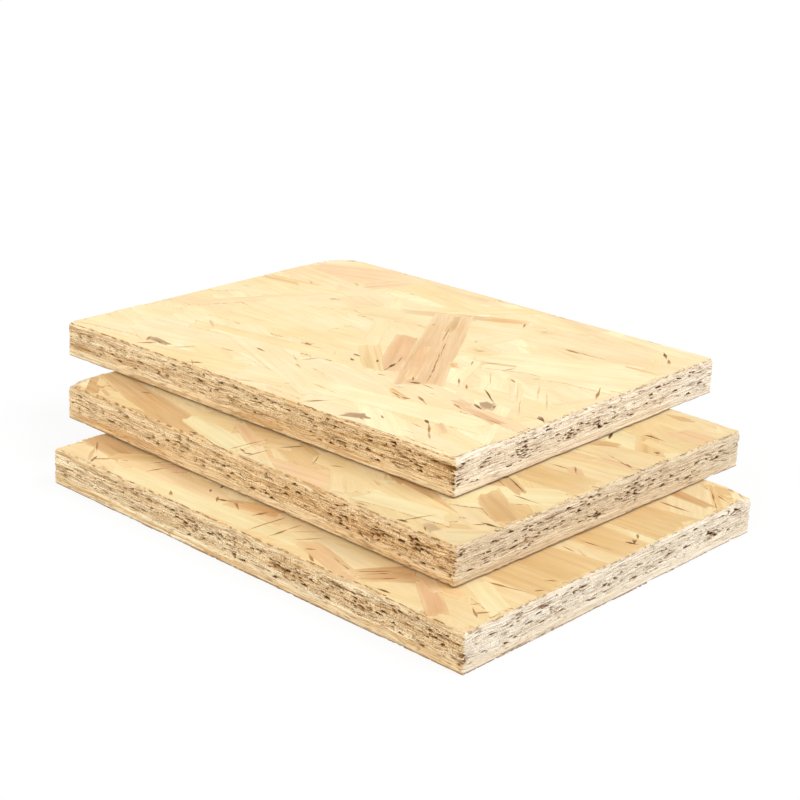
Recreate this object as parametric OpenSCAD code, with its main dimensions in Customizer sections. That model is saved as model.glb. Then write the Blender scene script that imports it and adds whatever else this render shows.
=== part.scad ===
// Three sawn panels of oriented strand board, stacked flat and slid back one on another.
// X runs along the panels' length, Y across them, Z up. The origin is the centre of the bottom
// panel's underside. The nearest corner of the stack is the one at +X, -Y.

/* [Panel] */
// Length of each panel, along the strands of its faces
panel_length = 250; // [160:1:600]
// Width of each panel
panel_width = 200; // [120:1:500]
// Thickness of each panel
panel_thickness = 18; // [12:0.5:30]

/* [Lay-up] */
// Thickness of one wood strand
strand_thickness = 0.7; // [0.4:0.05:1]
// Thickness of the closed layer of strands under the upper face
upper_layer = 2.6; // [1.5:0.1:4]
// Thickness of the closed layer of strands over the lower face
lower_layer = 4.4; // [1.5:0.1:5]

/* [Stack] */
// How far the middle panel is slid along its length
middle_slide = -26; // [-80:0.5:80]
// How far the middle panel is slid across
middle_shift = 26.5; // [-60:0.5:60]
// Turn of the middle panel, in degrees
middle_turn = -0.7; // [-10:0.1:10]
// How far the top panel is slid along its length
top_slide = -61.5; // [-80:0.5:80]
// How far the top panel is slid across
top_shift = 56.5; // [-60:0.5:60]
// Turn of the top panel, in degrees
top_turn = 1.5; // [-10:0.1:10]

/* [Sawn edges] */
// Distance from one open void to the next along an edge
void_pitch = 3; // [2.5:0.5:20]
// Longest void in the long edges, which cut the core strands across
cross_void_length = 5; // [3:0.5:15]
// Longest void in the short edges, which cut the core strands along their grain
grain_void_length = 6.5; // [3:0.5:20]
// Height of the tallest void, where two strands end one over the other
void_height = 1.1; // [0.5:0.1:2]
// Depth of the deepest void, inwards from the sawn edge
void_depth = 3.2; // [1:0.1:6]
// Length without voids at each end of an edge
void_margin = 6; // [4:0.5:20]

/* [Faces] */
// Distance from one gap between the face strands to the next, along the panel
gap_pitch = 56; // [25:1:100]
// Distance between the rows of gaps, across the panel
gap_row_pitch = 43; // [25:1:100]
// Longest gap between the face strands
gap_length = 13; // [6:0.5:24]
// Widest gap between the face strands
gap_width = 1.8; // [1:0.1:5]
// Largest angle between a gap and the panel's length, in degrees
gap_swing = 32; // [0:1:60]
// Width of the border of each face that has no gaps
gap_margin = 14; // [12:0.5:40]

/* [Wear] */
// Distance from one chip to the next along an arris
chip_pitch = 19; // [12:0.5:60]
// Longest chip, where the end of a face strand has broken off
chip_length = 10; // [3:0.5:12]
// How far a chip reaches in from the sawn edge
chip_reach = 2; // [0.5:0.1:4]
// Radius of a sound upright corner
corner_radius = 1.4; // [0.4:0.1:3]
// Radius of a corner that has been knocked round
worn_radius = 3; // [2:0.1:9]
// Height that has crumbled off the face at a knocked corner
worn_drop = 2.6; // [1:0.1:5]
// Distance over which the face slopes down to a knocked corner
worn_run = 11; // [8:0.5:20]

/* [Hidden] */

// Cutters start this far outside the surface that they cut
overrun = 1;
// Smallest void, gap or chip, as a share of the largest
smallest = 0.35;
// Where an opening is highest, as a share of its length from either end
shoulder = 0.35;
// How far the tip of a chip lies to one side, as a share of half its length
chip_lean = 0.3;
core_height = panel_thickness - upper_layer - lower_layer;

// Starting numbers of the panels' scattered voids, gaps and chips, and the steps from these
// to the numbers of each edge and each face
bottom_scatter = 1000;
middle_scatter = 2000;
top_scatter = 3000;
edge_step = 10;
upper_face_step = 100;
lower_face_step = 200;

// The corners, each at the end of the edge with the same number
RIGHT = 1;
BACK = 2;
LEFT = 3;

// The four edges as [turn, length, distance from the centre, longest void]
EDGES = [
    [0, panel_length, panel_width / 2, cross_void_length],
    [90, panel_width, panel_length / 2, grain_void_length],
    [180, panel_length, panel_width / 2, cross_void_length],
    [270, panel_width, panel_length / 2, grain_void_length],
];

$fn = 48;

// An opening beside a strand's end: highest near that end, and closing to a point each way
// where the strands over and under it meet
module strand_opening(length, height) {
    polygon([
        [-length / 2, -height / 2],
        [length / 2, -height / 4],
        [length * (1 / 2 - shoulder), height / 4],
        [length * (shoulder - 1 / 2), height / 2],
    ]);
}

// Puts its children on one edge: X along the edge, Y inwards from the sawn surface
module on_edge(edge) {
    rotate(edge[0])
        translate([0, -edge[2]])
            children();
}

// Open voids between the core strands of one sawn edge
module edge_voids(edge, seed) {
    run = edge[1] - 2 * void_margin - edge[3];
    count = floor(run / void_pitch);
    step = run / count;
    place = rands(0, 1, count, seed);
    level = rands(0, 1, count, seed + 1);
    size = rands(smallest, 1, count, seed + 2);
    depth = rands(smallest, 1, count, seed + 3);
    facing = rands(-1, 1, count, seed + 4);
    for (i = [0 : count - 1])
        translate([(i + place[i]) * step - run / 2, void_depth * depth[i],
                   lower_layer + core_height * level[i]])
            rotate([90, 0, 0])
                mirror([facing[i] > 0 ? 1 : 0, 0])
                    linear_extrude(void_depth * depth[i] + overrun)
                        strand_opening(edge[3] * size[i], void_height * size[i]);
}

// Broken strand ends along the upper arris of one edge
module arris_chips(edge, seed) {
    run = edge[1] - 2 * worn_radius - chip_length;
    count = floor(run / chip_pitch);
    step = run / count;
    place = rands(0, 1, count, seed);
    size = rands(smallest, 1, count, seed + 1);
    lean = rands(-chip_lean, chip_lean, count, seed + 2);
    for (i = [0 : count - 1]) {
        half = chip_length * size[i] / 2;
        translate([(i + place[i]) * step - run / 2, 0, panel_thickness - strand_thickness])
            linear_extrude(strand_thickness + overrun)
                polygon([
                    [-half, -overrun],
                    [half, -overrun],
                    [half, 0],
                    [half * lean[i], chip_reach * size[i]],
                    [-half, 0],
                ]);
    }
}

// Gaps between the strands of the upper face, one strand deep
module face_gaps(seed) {
    run = panel_length - 2 * gap_margin;
    spread = panel_width - 2 * gap_margin;
    columns = ceil(run / gap_pitch);
    rows = ceil(spread / gap_row_pitch);
    count = columns * rows;
    slide = rands(0, 1, count, seed);
    shift = rands(0, 1, count, seed + 1);
    size = rands(smallest, 1, count, seed + 2);
    swing = rands(-gap_swing, gap_swing, count, seed + 3);
    for (i = [0 : columns - 1], j = [0 : rows - 1]) {
        k = i * rows + j;
        translate([(i + slide[k]) * run / columns - run / 2,
                   (j + shift[k]) * spread / rows - spread / 2,
                   panel_thickness - strand_thickness])
            rotate(swing[k])
                linear_extrude(strand_thickness + overrun)
                    strand_opening(gap_length * size[k], gap_width * size[k]);
    }
}

// Puts its children on one upright corner, with X and Y along the two edges that meet there
module on_corner(k) {
    rotate(EDGES[k][0])
        translate([EDGES[k][1] / 2, -EDGES[k][2]])
            children();
}

// What is cut off one corner of the outline to round it
module corner_waste(radius) {
    translate([-radius, radius])
        difference() {
            translate([0, -radius - overrun])
                square(radius + overrun);
            circle(radius);
        }
}

// The slope where the face has crumbled at a knocked corner
module worn_slope() {
    slope = atan(worn_drop / worn_run);
    translate([0, 0, panel_thickness])
        rotate(-45)
            translate([-worn_run, 0, 0])
                rotate([0, slope, 0])
                    translate([0, -2 * worn_run, 0])
                        cube([2 * worn_run, 4 * worn_run, 2 * worn_drop]);
}

// One face's chips and gaps, as cut from above
module face_wear(seed) {
    face_gaps(seed);
    for (k = [0 : 3])
        on_edge(EDGES[k])
            arris_chips(EDGES[k], seed + edge_step * (k + 1));
}

// One panel, with the number of the corner that has been knocked round
module panel(seed, knocked) {
    difference() {
        linear_extrude(panel_thickness)
            difference() {
                square([panel_length, panel_width], center = true);
                for (k = [0 : 3])
                    on_corner(k)
                        corner_waste(k == knocked ? worn_radius : corner_radius);
            }
        on_corner(knocked)
            worn_slope();
        for (k = [0 : 3])
            on_edge(EDGES[k])
                edge_voids(EDGES[k], seed + edge_step * k);
        face_wear(seed + upper_face_step);
        translate([0, 0, panel_thickness])
            rotate([180, 0, 0])
                face_wear(seed + lower_face_step);
    }
}

module bottom_panel() {
    color([0.90, 0.76, 0.53])
        panel(bottom_scatter, RIGHT);
}

module middle_panel() {
    color([0.92, 0.79, 0.57])
        translate([middle_slide, middle_shift, panel_thickness])
            rotate(middle_turn)
                panel(middle_scatter, LEFT);
}

module top_panel() {
    color([0.96, 0.86, 0.66])
        translate([top_slide, top_shift, 2 * panel_thickness])
            rotate(top_turn)
                panel(top_scatter, BACK);
}

bottom_panel();
middle_panel();
top_panel();
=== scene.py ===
"""Looks of three strand-board panels in a stack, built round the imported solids.

Each panel is one sawn body, whose edges follow the open voids of its solid, with the strands of
its two faces pressed on as thin wood slivers. Lengths are in metres, angles in degrees.
"""

import math
import random
from collections import namedtuple

import bmesh
import bpy
import numpy as np
from bmesh.types import BMEdge, BMFace, BMVert
from mathutils import Matrix, Vector, noise
from mathutils.bvhtree import BVHTree


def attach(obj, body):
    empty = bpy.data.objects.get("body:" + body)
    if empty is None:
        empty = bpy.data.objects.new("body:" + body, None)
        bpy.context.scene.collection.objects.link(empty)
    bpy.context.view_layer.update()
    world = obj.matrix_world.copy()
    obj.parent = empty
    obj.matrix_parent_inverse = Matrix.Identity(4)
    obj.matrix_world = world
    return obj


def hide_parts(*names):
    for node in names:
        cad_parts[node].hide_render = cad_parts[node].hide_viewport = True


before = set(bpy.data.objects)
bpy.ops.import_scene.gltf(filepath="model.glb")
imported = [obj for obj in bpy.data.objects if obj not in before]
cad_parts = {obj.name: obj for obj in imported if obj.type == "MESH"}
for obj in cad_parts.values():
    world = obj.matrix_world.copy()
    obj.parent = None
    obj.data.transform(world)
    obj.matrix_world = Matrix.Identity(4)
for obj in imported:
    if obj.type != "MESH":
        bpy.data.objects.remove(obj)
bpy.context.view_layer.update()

MM = 0.001

# The view: where the camera stands, which way it looks and how it leans
CAMERA_PLACE = Vector((485.0, -545.7, 310.4)) * MM
VIEW_AZIMUTH = 41.76
VIEW_ELEVATION = 19.48
VIEW_ROLL = 2.81
LENS = 77.74

# The sawn body
RUN_STEP = 0.52 * MM
HEIGHT_STEP = 0.37 * MM
CORNER_RADIUS = 1.4 * MM
WORN_RADIUS = 3 * MM
WORN_RUN = 18 * MM
STRAND_BED = 0.6 * MM
VOID_REACH = 8 * MM
ARRIS_RISE = 3 * MM
ARRIS_REACH = 1.7 * MM
CORNER_WEAR = 16 * MM
CORNER_CHIP = 1.8 * MM
BED_RINGS = (2 * MM, 5 * MM, 8 * MM, 12 * MM)
BAKE_ROWS = 7

# Where the open core of an edge lies, as shares of the thickness, and over how much it closes
CORE = (0.2, 0.94)
CORE_FADE = 0.16

# The strands of a face
STRANDS_LAID = 260
STRAND_LENGTH = (50 * MM, 125 * MM)
STRAND_WIDTH = (6 * MM, 30 * MM, 15 * MM)
STRAND_SWING = 26
STRAY_SHARE = 0.2
STRAY_SWING = 72
LEAST_SEEN = 40
SLIVER = 2.5 * MM
FLECK_LENGTH = (3 * MM, 14 * MM)
FLECK_WIDTH = (0.5 * MM, 1.5 * MM)
FLECK_SWING = 40
GRID_STEP = (9 * MM, 3.5 * MM)
RIM = 0.3 * MM
RIM_DROP = 0.06 * MM
FEATHER = 1.6 * MM
TOOTH = 1.6 * MM
WALL = 0.75 * MM

# How much further back the lower strands are sawn off over another panel, and over the floor,
# where they reach further out instead
LOWER_LIP = 0.6 * MM
FLOOR_LIP = -0.4 * MM

# How a strand is sawn off at the panel's outline: the least it is short, in millimetres, how
# many are broken off further, the spacing of the points on the cut and the most of these
LEAST_SHORT = 0.5
BROKEN_SHARE = 0.2
FRINGE_STEP = 0.9 * MM
MOST_POINTS = 12

# The width of the strands in the bed, how far strands lap, and the space between their maps
BED_STRAND_WIDTH = 24 * MM
OVERLAP = 6 * MM
MAP_GAP = 0.8 * MM

# The stage: half the floor's width, how far it glows in the view, how bright the surroundings
# are, and the lamps with their azimuth, elevation, power and spread
FLOOR_HALF = 4
FLOOR_GLOW = 0.9
SURROUNDINGS = 0.36
LAMPS = [("key", 124, 50, 2.0, 40), ("fill", -5, 28, 2.0, 90)]


def wood(red, green, blue):
    """A colour as seen on screen, from 0 to 255, as the shader takes it."""
    def linear(value):
        value /= 255
        return value / 12.92 if value <= 0.04045 else ((value + 0.055) / 1.055) ** 2.4
    return (linear(red), linear(green), linear(blue), 1.0)


WOODS = {
    "cream": wood(248, 229, 184),
    "pale": wood(249, 233, 191),
    "straw": wood(247, 227, 177),
    "blush": wood(247, 225, 181),
    "flush": wood(247, 217, 176),
    "lemon": wood(250, 240, 196),
    "pink": wood(236, 204, 160),
    "rose": wood(234, 196, 152),
    "orange": wood(239, 200, 146),
    "honey": wood(240, 212, 160),
    "olive": wood(237, 209, 157),
    "tan": wood(228, 194, 145),
    "grey": wood(214, 188, 150),
    "ash": wood(184, 154, 122),
    "sawn": wood(238, 216, 178),
    "brown": wood(178, 132, 82),
    "bark": wood(120, 84, 50),
}

# Painted contact shadow: the dark line along a panel's lower arris, over what it stands on
CONTACT_SHADOW = wood(122, 78, 32)

# How often each wood comes up among the strands that nothing else places
CALM = {"cream": 34, "pale": 24, "straw": 22, "blush": 14, "lemon": 6}
LIVELY = {"cream": 22, "pale": 14, "straw": 20, "blush": 12, "flush": 10, "honey": 14, "lemon": 6,
          "tan": 2}
# The woods of the dark slivers: bark and broken strands, and in part painted shade of narrow gaps
FLECKS = ["tan", "tan", "brown", "brown", "bark"]

# How strongly the figure of the grain shows in a wood, where it isn't faint
FIGURED = {"pink": 0.4, "rose": 0.45, "tan": 0.9, "grey": 0.9, "orange": 0.8, "honey": 0.7,
           "olive": 0.45, "flush": 0.5}
PLAIN_FIGURE = 0.22

Strand = namedtuple("Strand", "x y angle length width wood")

# Strands that stand out on the faces, laid last and in this order: place of the middle and
# size in millimetres, and the angle from the panel's length. The thin brown and bark slivers
# among them are dark lines, partly painted shade of narrow gaps between strands.
TOP_MARKS = [
    (-92, 80, 24, 64, 26, "flush"),
    (-104, 54, -8, 44, 22, "blush"),
    (-66, 78, 66, 34, 12, "flush"),
    (-78, 61, -35, 9, 2.2, "tan"),
    (-109, 38, 8, 38, 10, "honey"),
    (-98, 46, -38, 12, 1.8, "tan"),
    (-84, 40, 12, 30, 8, "straw"),
    (84, 32, 28, 74, 30, "lemon"),
    (62, -69, 9, 96, 17, "lemon"),
    (-58, -53, 8, 24, 4, "lemon"),
    (-1, 58.5, 31, 68, 9, "pink"),
    (24, 65, 28, 36, 8, "blush"),
    (19, 71, 31, 24, 8, "orange"),
    (29, 72, -62, 10, 1.6, "brown"),
    (24, 9, -58.5, 116, 22, "pink"),
    (16.5, -13, -57.5, 58, 12, "rose"),
    (12, -26.5, -44, 38, 11, "honey"),
    (32, -16, -58, 50, 6, "rose"),
    (4, 44, -60, 30, 5, "tan"),
    (-2, 36, -60, 8, 2.4, "grey"),
    (27, 10, -58, 30, 0.8, "brown"),
    (36, -7, -57, 26, 1.0, "brown"),
    (12, 30, -60, 30, 0.9, "brown"),
    (28, -31, -74, 15, 2.0, "bark"),
    (25, -21, -60, 14, 1.0, "brown"),
    (46, -22, -58, 34, 1.0, "brown"),
    (50, -40.5, 24, 8, 2.4, "bark"),
    (47, -37, -56, 9, 1.8, "brown"),
    (-22, -35, -10, 5, 2.4, "brown"),
    (-21, -35, 60, 5, 1.8, "brown"),
    (6, -30, -10, 6, 2.0, "brown"),
    (9, -37, -30, 5, 2.4, "bark"),
    (18, -29, -52, 5, 1.8, "bark"),
    (33, -43, 10, 5, 1.5, "brown"),
    (46, -6, -40, 8, 4, "orange"),
    (50, 3, -58, 8, 1.0, "brown"),
    (30, 31, -60, 4, 1.4, "tan"),
    (42, 22, 20, 9, 2.2, "tan"),
    (60, 11, 24, 18, 3.4, "pink"),
    (57, 9, 50, 9, 1.2, "brown"),
    (68, 9, 70, 8, 1.6, "brown"),
    (70, -26, -50, 8, 1.2, "brown"),
    (85, -12, -52, 34, 3.2, "blush"),
    (79, -3, -30, 6, 1.8, "brown"),
    (95, -19, -54, 40, 3, "blush"),
    (70, -8, -52, 20, 0.7, "tan"),
    (90, -14, -53, 30, 0.8, "tan"),
    (98, -8, -56, 24, 0.7, "tan"),
    (107, -14, -54, 26, 0.8, "tan"),
    (64, -24, -50, 14, 0.8, "brown"),
    (104, -30, -55, 22, 0.8, "tan"),
    (85, -28, -38, 20, 1.3, "bark"),
    (88, -46, -14, 22, 6, "pink"),
    (107, -50, -5, 38, 9, "flush"),
    (98, -51.5, -10, 28, 6, "rose"),
    (86, -50.5, -20, 12, 1.2, "brown"),
    (105, -53.5, -3, 22, 0.9, "brown"),
    (93, -40, -50, 10, 6, "ash"),
    (91, -43.5, -25, 9, 2.2, "bark"),
    (96, -38, -60, 7, 1.4, "brown"),
    (55, -57, -20, 14, 3.2, "orange"),
    (57, -59, -14, 13, 1.5, "brown"),
    (62, -59, 20, 5, 2.2, "brown"),
    (69, -56, -30, 13, 1.6, "brown"),
    (-30, -59, -8, 8, 2.0, "brown"),
    (-10, -56, -30, 11, 1.6, "tan"),
    (-1, -63, -24, 9, 1.6, "tan"),
    (-76, -48, -36, 14, 2, "pink"),
    (28, -77, -6, 18, 1.4, "tan"),
    (96, -83, -48, 21, 1.5, "brown"),
    (88, -75, -30, 5, 2.0, "bark"),
    (98, -77, -40, 13, 4, "pink"),
    (90, -90, 10, 12, 1.0, "tan"),
    (71, -85, -40, 5, 1.6, "brown"),
    (62, -92, 34, 11, 6, "ash"),
    (59, -95, 60, 8, 1.8, "brown"),
    (66, -93, -20, 6, 1.4, "brown"),
    (38, -91, 54, 14, 2.4, "brown"),
    (-72, -86.5, -6, 14, 4, "ash"),
    (-71, -87.5, -4, 13, 1.8, "bark"),
    (-79, -87, -58, 9, 2.3, "brown"),
    (-74, -93, 55, 10, 2.4, "brown"),
    (-37, -96, 40, 9, 2.4, "brown"),
    (78, 56, 3, 26, 1.4, "brown"),
    (72, 54.5, 0, 10, 2.0, "brown"),
    (112, 56, 4, 20, 2.6, "pink"),
    (106, 85, -50, 11, 2.4, "bark"),
    (113, 77, -54, 10, 2.0, "brown"),
    (108, 72, -56, 30, 6, "straw"),
    (116, 13, -62, 18, 1.2, "brown"),
    (120, -35, -30, 9, 2.2, "bark"),
]
MIDDLE_MARKS = [
    (-79, -86, -14, 92, 17, "tan"),
    (-90, -80, 20, 8, 2.4, "brown"),
    (-102, -94, -24, 12, 3, "rose"),
    (-34, -97, 10, 7, 2.4, "bark"),
    (-28, -91, -12, 46, 13, "lemon"),
    (-18, -79, -24, 28, 7, "flush"),
    (-8, -88, 84, 21, 1.2, "brown"),
    (2, -91, 86, 14, 1.2, "brown"),
    (0, -95, 30, 6, 1.8, "bark"),
    (-4, -95, -20, 6, 1.5, "brown"),
    (6, -75, 62, 13, 1.6, "bark"),
    (44, -77, -8, 44, 10, "straw"),
    (24, -78, -58, 13, 1.2, "brown"),
    (60, -77, -20, 9, 1.8, "tan"),
    (36, -76, 30, 8, 1.2, "brown"),
    (70, -97.5, 8, 12, 1.6, "brown"),
    (84, -78, -8, 46, 13, "straw"),
    (84, -86, 14, 40, 12, "lemon"),
    (96, -90, 72, 18, 1.3, "brown"),
    (94, -97, 20, 6, 1.8, "bark"),
    (105, -93, -20, 10, 6, "grey"),
    (105, -96, -40, 6, 1.2, "brown"),
    (112, 52, -10, 18, 7, "straw"),
    (89, 47, -60, 10, 2.4, "bark"),
    (94, 36, 30, 13, 7, "tan"),
    (112, 23, -18, 22, 0.9, "brown"),
    (112, -7, -42, 27, 6, "pink"),
    (106, -1, -48, 12, 1.0, "brown"),
    (120, -15, -30, 5, 2.0, "bark"),
    (97, -2, 4, 12, 1.2, "brown"),
    (99, -35, -26, 18, 7, "tan"),
    (99, -33, -27, 19, 1.4, "bark"),
    (110, -58, -30, 30, 13, "tan"),
    (98, -64, 40, 12, 8, "lemon"),
    (106, -14, 8, 34, 20, "olive"),
    (112, -42, 6, 16, 1.4, "brown"),
    (120, -73, 12, 11, 2.2, "bark"),
    (116, -76, 50, 6, 1.4, "brown"),
    (116, 45, 20, 4, 2.4, "bark"),
    (105, 60, 0, 11, 2.0, "brown"),
    (101, 60, 20, 5, 2.2, "bark"),
    (118, 22, -20, 7, 1.6, "brown"),
]
BOTTOM_MARKS = [
    (-30, -92, 3, 110, 13, "lemon"),
    (38, -84, -5, 60, 10, "pale"),
    (-112, -79, -6, 36, 14, "tan"),
    (-88, -77, 40, 28, 9, "honey"),
    (-110, -89, -48, 24, 2.4, "rose"),
    (-113, -84, -40, 15, 1.4, "brown"),
    (-101, -96, -60, 12, 1.6, "bark"),
    (-98, -91, 50, 16, 1.2, "brown"),
    (-73, -80, 78, 15, 1.3, "brown"),
    (-79, -76, 60, 11, 1.0, "brown"),
    (-64, -76, 55, 10, 1.0, "tan"),
    (-39, -80, -40, 4, 1.8, "brown"),
    (-28, -83, 20, 7, 2.4, "bark"),
    (-30, -84, -50, 6, 1.8, "brown"),
    (-48, -95, -40, 7, 2.4, "brown"),
    (-13, -79, 20, 26, 9, "orange"),
    (-22, -80, 30, 9, 3, "tan"),
    (-6, -81, 75, 10, 2.4, "brown"),
    (-20, -82, -30, 11, 1.8, "brown"),
    (3.5, -86, 87, 21, 1.3, "brown"),
    (13.5, -86, 87, 20, 1.5, "brown"),
    (20, -80, 50, 17, 1.2, "tan"),
    (26, -84, 55, 15, 1.1, "brown"),
    (46, -92, -16, 40, 10, "pink"),
    (40, -96, -30, 9, 1.8, "brown"),
    (34, -90, 40, 6, 1.6, "brown"),
    (55, -92, -18, 22, 1.1, "brown"),
    (71, -86, 52, 25, 14, "tan"),
    (66, -86, 50, 18, 1.6, "brown"),
    (70, -85, 54, 20, 1.8, "brown"),
    (75, -86, 52, 20, 1.4, "brown"),
    (96, -86, -40, 32, 9, "rose"),
    (88, -78, -30, 15, 5, "pink"),
    (116, -84, -40, 9, 1.2, "brown"),
    (80, -96, 10, 7, 2.2, "bark"),
    (110, 90, -18, 26, 2.4, "tan"),
    (112, 88, -22, 22, 1.4, "brown"),
    (114, 84, -48, 30, 4, "honey"),
    (115, 82, -50, 28, 1.0, "brown"),
    (108, 74, -8, 24, 7, "tan"),
    (108, 61.5, 2, 22, 1.7, "brown"),
    (108, 40, 4, 34, 30, "olive"),
    (108, 9, 6, 34, 22, "olive"),
    (118, 17, -60, 7, 2.2, "bark"),
    (119, 15, 20, 8, 2.0, "bark"),
    (116, 22, -50, 6, 1.4, "brown"),
    (109, 1, 10, 19, 1.2, "brown"),
    (104, -10, -4, 9, 1.2, "brown"),
    (108, -34, 4, 34, 44, "olive"),
    (109, -58, 16, 23, 1.3, "brown"),
    (118, -40, 40, 6, 1.6, "brown"),
    (121, -50, 60, 6, 1.6, "brown"),
    (112, -70, -30, 30, 10, "lemon"),
    (118, -82, 60, 7, 1.4, "brown"),
]

# The panels, each with its mix of woods, how many dark flecks lie on a face, and the tints of
# its faces, long edges and short edges
Panel = namedtuple("Panel", "node seed marks mix flecks tint long_tint short_tint")
PANELS = [
    Panel("bottom_panel", 11, BOTTOM_MARKS, LIVELY, 36, tint=(0.90, 0.845, 0.79),
          long_tint=(1.03, 1.06, 1.09), short_tint=(0.975, 0.98, 0.98)),
    Panel("middle_panel", 23, MIDDLE_MARKS, LIVELY, 36, tint=(0.875, 0.83, 0.78),
          long_tint=(1.03, 1.0, 0.96), short_tint=(0.91, 0.86, 0.775)),
    Panel("top_panel", 37, TOP_MARKS, CALM, 16, tint=(0.98, 0.97, 0.985),
          long_tint=(1.05, 1.05, 1.04), short_tint=(1.06, 1.06, 1.06)),
]


# The frame of each panel

class Board:
    """One panel's solid in the panel's own frame: centred in plan, standing on Z = 0."""

    def __init__(self, node):
        solid = bmesh.new()
        solid.from_mesh(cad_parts[node].data)
        bmesh.ops.remove_doubles(solid, verts=solid.verts, dist=1e-7)
        front = Vector()
        for face in solid.faces:
            if face.normal.y < -math.cos(math.radians(5)):
                front += face.normal * face.calc_area()
        turn = Matrix.Rotation(math.atan2(front.x, -front.y), 4, "Z")
        bmesh.ops.transform(solid, matrix=turn.inverted(), verts=solid.verts)
        points = np.array([v.co for v in solid.verts])
        low, high = points.min(0), points.max(0)
        middle = Vector(((low[0] + high[0]) / 2, (low[1] + high[1]) / 2, low[2]))
        bmesh.ops.translate(solid, vec=-middle, verts=solid.verts)
        self.place = turn @ Matrix.Translation(middle)
        self.length, self.width, self.thickness = (float(d) for d in high - low)
        self.surface = BVHTree.FromBMesh(solid)
        solid.free()
        self.knocked = [corner for corner, inward in self.corners() if self.worn(corner, inward)]

    def sunk(self, x, y):
        """How far the upper face lies below its level at one point."""
        start = Vector((x, y, self.thickness + MM))
        hit = self.surface.ray_cast(start, Vector((0, 0, -1)))[0]
        return self.thickness - hit.z if hit else self.thickness

    def bed_height(self, spot):
        """How high the bed of the upper strands lies at one point: level, or under the slope of a
        knocked corner."""
        bed = self.thickness - STRAND_BED
        near = any((spot.xy - corner.xy).length < WORN_RUN for corner in self.knocked)
        return min(bed, self.thickness - self.sunk(spot.x, spot.y) - MM / 20) if near else bed

    def corners(self):
        """The four corners of the outline, from the near one round, each with the direction into
        the panel."""
        for sx, sy in ((1, -1), (1, 1), (-1, 1), (-1, -1)):
            corner = Vector((sx * self.length / 2, sy * self.width / 2, 0))
            yield corner, Vector((-sx, -sy, 0)).normalized()

    def worn(self, corner, inward):
        """Whether the upper face slopes down at this corner."""
        spot = corner + inward * 4 * MM
        return self.sunk(spot.x, spot.y) > MM

    def face_cuts(self, upper):
        """Where the strands of a face are sawn off: planes as a place and a direction outwards.
        The lower face is turned over along the panel's length, so its Y runs the other way."""
        cuts = [(Vector((side * self.length / 2, 0, 0)), Vector((side, 0, 0))) for side in (-1, 1)]
        cuts += [(Vector((0, side * self.width / 2, 0)), Vector((0, side, 0))) for side in (-1, 1)]
        near_corner = next(self.corners())[0]
        turned = Vector((1, 1 if upper else -1, 1))
        for corner, inward in self.corners():
            worn = self.worn(corner, inward)
            chip = CORNER_CHIP if upper and corner == near_corner else 0
            reach = (WORN_RADIUS if worn else CORNER_RADIUS) * (math.sqrt(2) - 1) + chip
            while worn and upper and self.sunk(*(corner + inward * reach).xy) > STRAND_BED / 2:
                reach += MM / 2
            cuts.append(((corner + inward * reach) * turned, -inward * turned))
        return cuts


# The sawn body

def picked(geometry, kind):
    """The vertices, edges or faces among what an operator made."""
    return [item for item in geometry if isinstance(item, kind)]


def outline_ring(bm, board):
    """The panel's outline as a closed ring of short edges, and its points in order."""
    bmesh.ops.create_grid(bm, x_segments=1, y_segments=1, size=0.5)
    bmesh.ops.scale(bm, vec=(board.length, board.width, 1), verts=bm.verts)
    worn = [corner.xy for corner in board.knocked]
    limit = (board.length + board.width) / 2 - MM / 10
    for radius, knocked in ((WORN_RADIUS, True), (CORNER_RADIUS, False)):
        sharp = [v for v in bm.verts if abs(v.co.x) + abs(v.co.y) > limit]
        alike = [v for v in sharp if any((v.co.xy - place).length < MM for place in worn) == knocked]
        bmesh.ops.bevel(bm, geom=alike, offset=radius, offset_type="OFFSET", segments=6, profile=0.5,
                        affect="VERTICES", material=-1)
    bmesh.ops.delete(bm, geom=bm.faces[:], context="FACES_ONLY")
    for edge in bm.edges[:]:
        cuts = int(edge.calc_length() / RUN_STEP)
        if cuts:
            bmesh.ops.subdivide_edges(bm, edges=[edge], cuts=cuts)
    bm.verts.ensure_lookup_table()
    ring, edge = [bm.verts[0]], bm.verts[0].link_edges[0]
    while len(ring) < len(bm.verts):
        ring.append(edge.other_vert(ring[-1]))
        edge = next(e for e in ring[-1].link_edges if e is not edge)
    return ring


def outward_normals(points):
    """The ring's outward directions in plan, one for each point."""
    along = np.roll(points, -1, 0) - np.roll(points, 1, 0)
    along /= np.linalg.norm(along, axis=1)[:, None]
    normals = np.stack([along[:, 1], -along[:, 0]], 1)
    return normals * np.sign((normals * points).sum(1).mean())


def held(value, low=0, high=1):
    """The value, kept within limits."""
    return min(high, max(low, value))


def swell(run, height, along, up, seed):
    """Smooth noise over a sawn edge, with about so many swings a metre along it and up it."""
    return noise.noise(Vector((run * along, height * up, seed)))


def cut_strands(run, height, seed):
    """How the cut strands lie at one point of a sawn edge: how far it stands back, and how far
    it is open between them."""
    sway = 0.5 * MM * swell(run, height, 45, 120, seed)
    near, cells = noise.voronoi(Vector((run * 42, (height + sway) * 1100, seed)))
    back = 0.15 + 0.15 * noise.cell(cells[0] * 9.7)
    fuzz = 0.5 + 0.5 * swell(run, height, 1100, 1700, seed)
    loose = swell(run, height, 90, 330, seed + 5)
    seam = max(0, 1 - (near[1] - near[0]) / 0.26) * max(0, 0.3 + loose)
    cluster = swell(run, height, 70, 160, seed + 9)
    torn = swell(run, height, 330, 1400, seed + 13)
    pit = max(0, torn + 0.75 * cluster - 0.4)
    return (back + 0.12 * fuzz) * MM, (0.9 * seam + 2.7 * pit) * MM


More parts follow.
